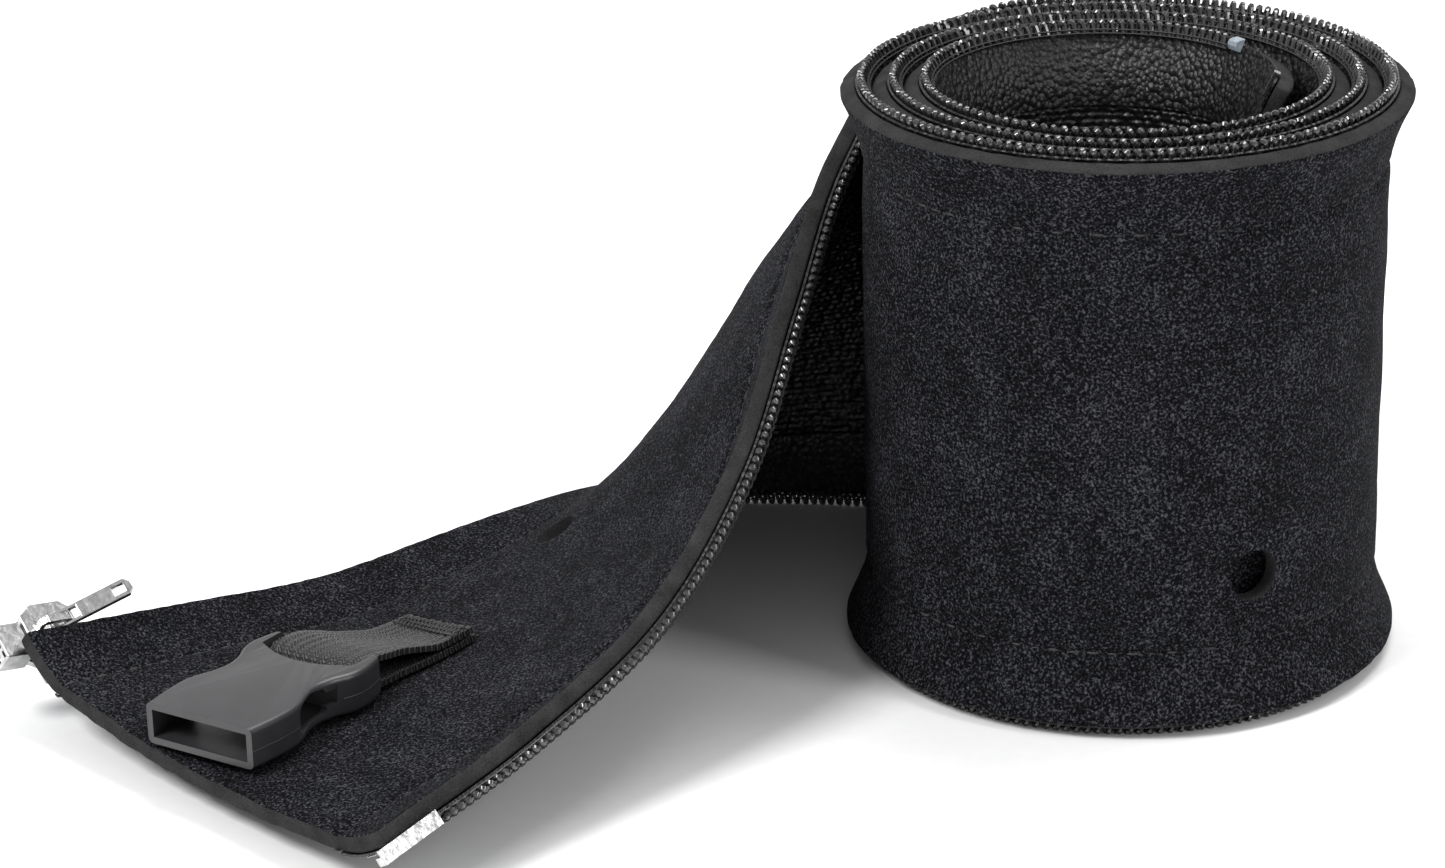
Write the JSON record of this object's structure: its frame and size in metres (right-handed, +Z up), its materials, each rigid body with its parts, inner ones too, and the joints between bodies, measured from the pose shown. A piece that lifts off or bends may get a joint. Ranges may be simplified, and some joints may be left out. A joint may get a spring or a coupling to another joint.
{
  "type": "zippered cable sleeve",
  "caption": "Padded fabric wrap for a cable bundle, rolled up on edge, with a zipper half along each long edge and a buckle socket on a webbing loop.",
  "frame": {"origin": "on the surface it stands on, under the middle of its bounding box", "axes": "+Z up along the roll's axis, +X from the tail's end towards the roll"},
  "size_m": [0.2456, 0.176, 0.1043],
  "materials": {
    "plush": "brushed knit on foam",
    "tape": "woven",
    "coil": "glossy",
    "nickel": "nickel plated",
    "clear_film": "translucent",
    "webbing": "ribbed weave",
    "buckle_plastic": "satin"
  },
  "bodies": {
    "sleeve": {"neoprene_sleeve": "plush", "zipper_tape_top": "tape", "zipper_tape_bottom": "tape", "zipper_coil_top": "coil", "zipper_coil_bottom": "coil", "insertion_pin": "nickel", "retainer_pin": "nickel", "end_stop_top": "clear_film", "end_stop_bottom": "clear_film", "end_clip": "nickel", "reinforcement_film_top": "clear_film", "reinforcement_film_bottom": "clear_film", "strap_loop": "webbing", "strap_bartack": "tape", "retainer_box": "nickel"},
    "slider": {"slider_body": "nickel"},
    "pull_tab": {"pull_tab": "nickel"},
    "buckle": {"buckle_socket": "buckle_plastic"}
  },
  "joints": [
    {"name": "slider_slide", "type": "slide", "parent": "sleeve", "child": "slider", "axis": [0.6232, 0.7586, -0.19], "range_m": [0, 0.012]},
    {"name": "tab_swing", "type": "hinge", "parent": "slider", "child": "pull_tab", "pos_m": [-0.11125, -0.0124, 0.01567], "axis": [0.5597, -0.6024, -0.5691], "range_deg": [-20, 125]},
    {"name": "buckle_swing", "type": "hinge", "parent": "sleeve", "child": "buckle", "pos_m": [-0.06232, -0.02136, 0.01273], "axis": [-0.8919, 0.4521, -0.0107], "range_deg": [0, 90]}
  ]
}
